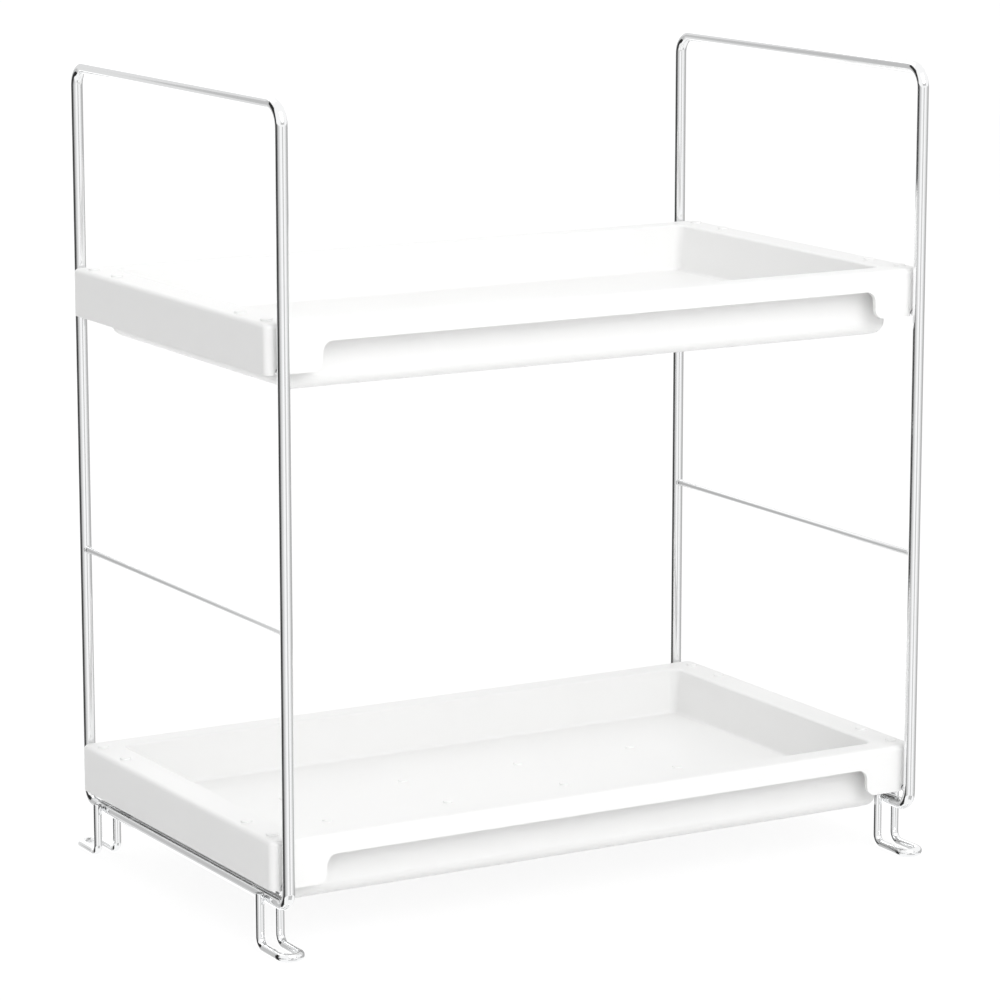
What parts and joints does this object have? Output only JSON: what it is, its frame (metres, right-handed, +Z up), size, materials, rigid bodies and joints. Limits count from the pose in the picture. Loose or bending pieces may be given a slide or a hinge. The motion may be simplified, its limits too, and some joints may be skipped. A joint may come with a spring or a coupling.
{
  "type": "two-tier vanity shelf",
  "caption": "Free-standing two-tier countertop shelf: shallow moulded trays rest between bent chrome wire hoops on hairpin feet, and each tray lifts off its support bars.",
  "frame": {"origin": "on the counter, under the middle of the shelf", "axes": "+Z up, +X along the trays to the right, -Y towards the front"},
  "size_m": [0.306, 0.195, 0.3345],
  "materials": {
    "chrome_wire": "bright plated wire",
    "white_plastic": "smooth satin white"
  },
  "bodies": {
    "frame": {"left_hoop": "chrome_wire", "right_hoop": "chrome_wire", "left_lower_support_bar": "chrome_wire", "right_lower_support_bar": "chrome_wire", "left_middle_bar": "chrome_wire", "right_middle_bar": "chrome_wire", "left_upper_support_bar": "chrome_wire", "right_upper_support_bar": "chrome_wire", "front_left_foot": "chrome_wire", "front_right_foot": "chrome_wire", "rear_left_foot": "chrome_wire", "rear_right_foot": "chrome_wire"},
    "lower_tray": {"lower_tray": "white_plastic"},
    "upper_tray": {"upper_tray": "white_plastic"}
  },
  "joints": [
    {"name": "lower_tray_lift", "type": "slide", "parent": "frame", "child": "lower_tray", "axis": [0, 0, 1], "range_m": [0, 0.078]},
    {"name": "upper_tray_lift", "type": "slide", "parent": "frame", "child": "upper_tray", "axis": [0, 0, 1], "range_m": [0, 0.077]}
  ]
}
